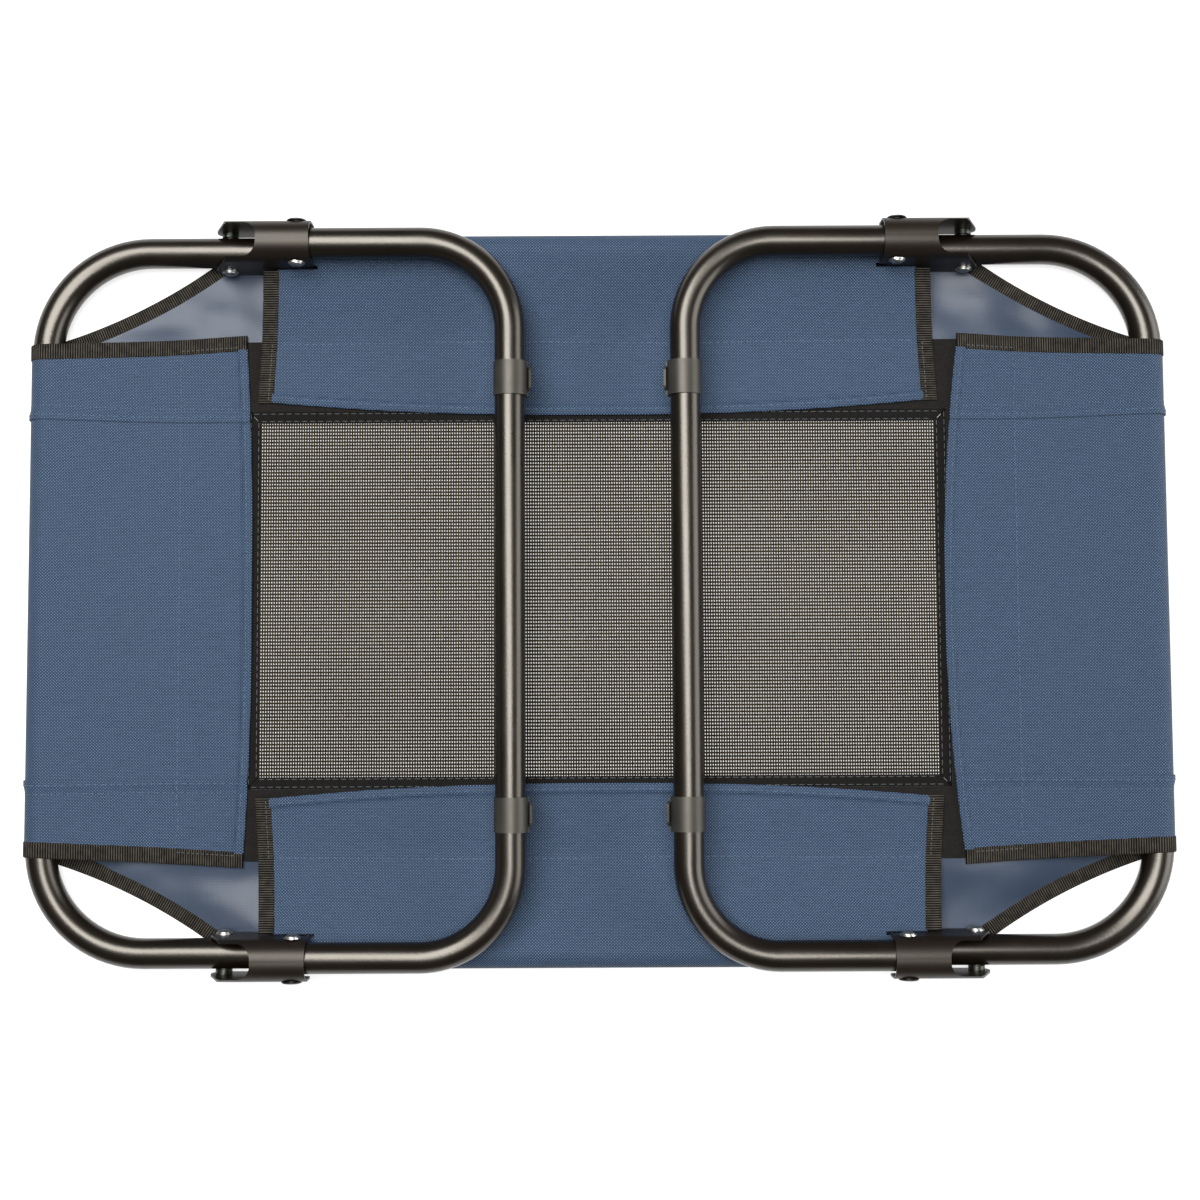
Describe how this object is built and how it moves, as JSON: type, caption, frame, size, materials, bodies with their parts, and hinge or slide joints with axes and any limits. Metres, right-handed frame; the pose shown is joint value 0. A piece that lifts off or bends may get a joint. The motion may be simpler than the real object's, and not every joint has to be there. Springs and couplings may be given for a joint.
{
  "type": "folding cot",
  "caption": "Raised folding cot: steel tube frame, wrapped cloth cover with a mesh window, and two U-shaped leg frames folded flat on its underside.",
  "frame": {"origin": "middle of the sleeping face, which is at the bottom of the folded cot's box", "axes": "+X along the bed to the right-hand end, +Y across the bed to the back rail, +Z from the sleeping face to the underside, where the legs fold"},
  "size_m": [0.7242, 0.4748, 0.0446],
  "materials": {
    "tube_paint": "satin black-brown powder coat",
    "bracket_paint": "satin black paint on pressed steel",
    "sleeve_steel": "plain steel, hidden in the rails",
    "rivet_zinc": "zinc plate",
    "cover_cloth": "slate blue woven polyester, coated on one side",
    "mesh_cloth": "grey-brown open mesh",
    "binding_tape": "black ribbed woven tape",
    "foot_plastic": "dark grey satin plastic"
  },
  "bodies": {
    "bed_frame": {"frame_tube_left": "tube_paint", "frame_tube_right": "tube_paint", "rail_connector_front": "sleeve_steel", "rail_connector_back": "sleeve_steel", "pivot_rivet_left_front": "rivet_zinc", "pivot_rivet_left_back": "rivet_zinc", "pivot_rivet_right_front": "rivet_zinc", "pivot_rivet_right_back": "rivet_zinc", "pivot_washers": "rivet_zinc", "side_strip_front": "cover_cloth", "side_strip_back": "cover_cloth", "end_panel_left": "cover_cloth", "end_panel_right": "cover_cloth", "mesh_panel": "mesh_cloth", "mesh_border": "binding_tape", "loop_tape_front": "binding_tape", "loop_tape_back": "binding_tape", "loop_tape_left": "binding_tape", "loop_tape_right": "binding_tape", "hook_tape_front": "binding_tape", "hook_tape_back": "binding_tape", "hook_tape_left": "binding_tape", "hook_tape_right": "binding_tape", "corner_binding_left_front": "binding_tape", "corner_binding_left_back": "binding_tape", "corner_binding_right_front": "binding_tape", "corner_binding_right_back": "binding_tape", "end_binding_left_front": "binding_tape", "end_binding_left_back": "binding_tape", "end_binding_right_front": "binding_tape", "end_binding_right_back": "binding_tape", "side_binding_left_front": "binding_tape", "side_binding_left_back": "binding_tape", "side_binding_right_front": "binding_tape", "side_binding_right_back": "binding_tape"},
    "leg_left": {"leg_tube_left": "tube_paint", "hinge_bracket_left_front": "bracket_paint", "hinge_bracket_left_back": "bracket_paint", "leg_rivet_left_front": "rivet_zinc", "leg_rivet_left_back": "rivet_zinc", "leg_washers_left": "rivet_zinc", "foot_clip_left_front": "foot_plastic", "foot_clip_left_back": "foot_plastic"},
    "leg_right": {"leg_tube_right": "tube_paint", "hinge_bracket_right_front": "bracket_paint", "hinge_bracket_right_back": "bracket_paint", "leg_rivet_right_front": "rivet_zinc", "leg_rivet_right_back": "rivet_zinc", "leg_washers_right": "rivet_zinc", "foot_clip_right_front": "foot_plastic", "foot_clip_right_back": "foot_plastic"}
  },
  "joints": [
    {"name": "leg_left_hinge", "type": "hinge", "parent": "bed_frame", "child": "leg_left", "pos_m": [-0.2355, 0, 0.0101], "axis": [0, -1, 0], "range_deg": [0, 110]},
    {"name": "leg_right_hinge", "type": "hinge", "parent": "bed_frame", "child": "leg_right", "pos_m": [0.2355, 0, 0.0101], "axis": [0, 1, 0], "range_deg": [0, 110]}
  ]
}
